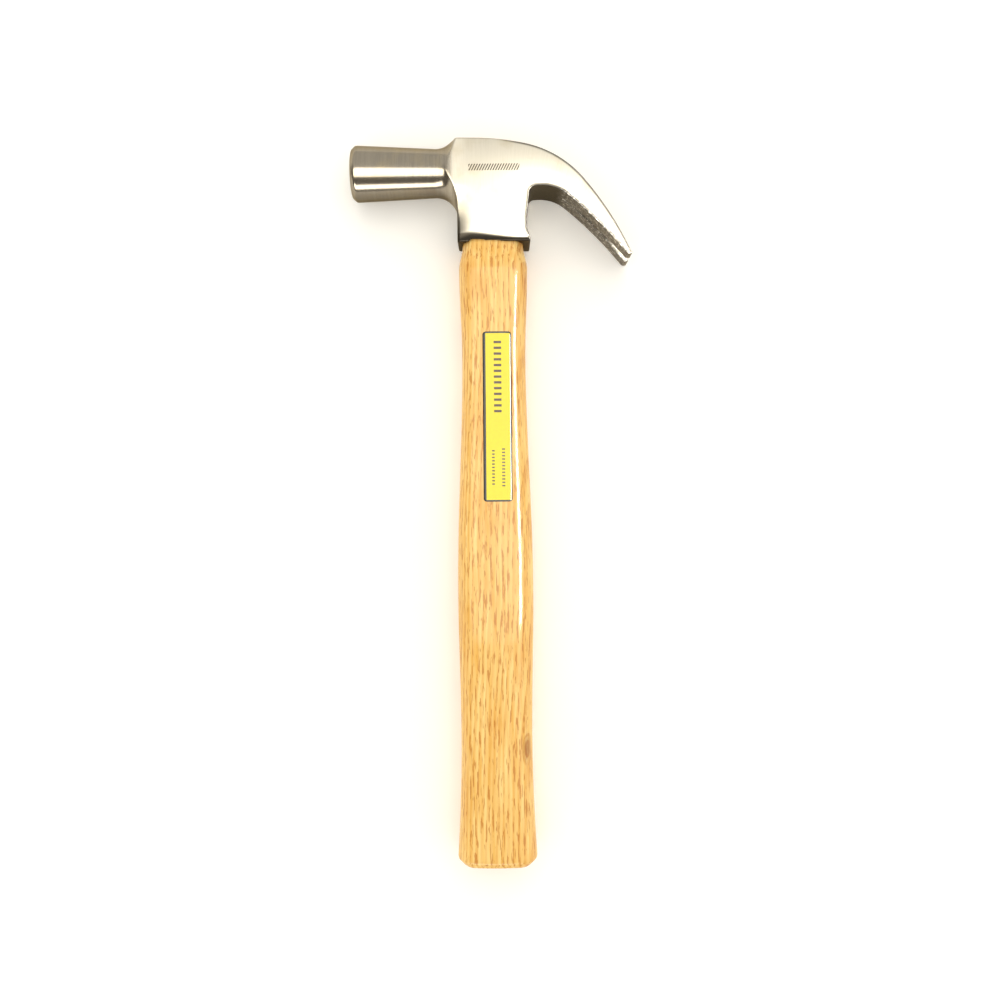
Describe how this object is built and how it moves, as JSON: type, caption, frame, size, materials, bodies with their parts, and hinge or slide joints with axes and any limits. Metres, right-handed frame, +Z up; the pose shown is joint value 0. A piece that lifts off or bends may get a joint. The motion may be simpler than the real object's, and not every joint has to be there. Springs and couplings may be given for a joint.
{
  "type": "claw hammer",
  "caption": "Claw hammer lying on its side: forged steel head with a round poll and a split curved claw, wedged on a flattened wooden handle with a label.",
  "frame": {"origin": "on the surface the hammer lies on, under the handle's axis, half way between the butt and the top of the head", "axes": "+X across the handle toward the claw, +Y along the handle toward the head, +Z up from the surface the hammer lies on"},
  "size_m": [0.1277, 0.33, 0.0254],
  "materials": {
    "forged_steel": "polished poll, satin-ground cheeks, dark forged underside of the claw",
    "lacquered_wood": "open-pored hardwood under clear gloss lacquer",
    "wedge_wood": "sawn end grain",
    "wedge_steel": "mill finish",
    "printed_label": "glossy printed film"
  },
  "bodies": {
    "root": {"head": "forged_steel", "handle": "lacquered_wood", "wood_wedge": "wedge_wood", "steel_wedge_1": "wedge_steel", "steel_wedge_2": "wedge_steel", "label": "printed_label"}
  },
  "joints": []
}
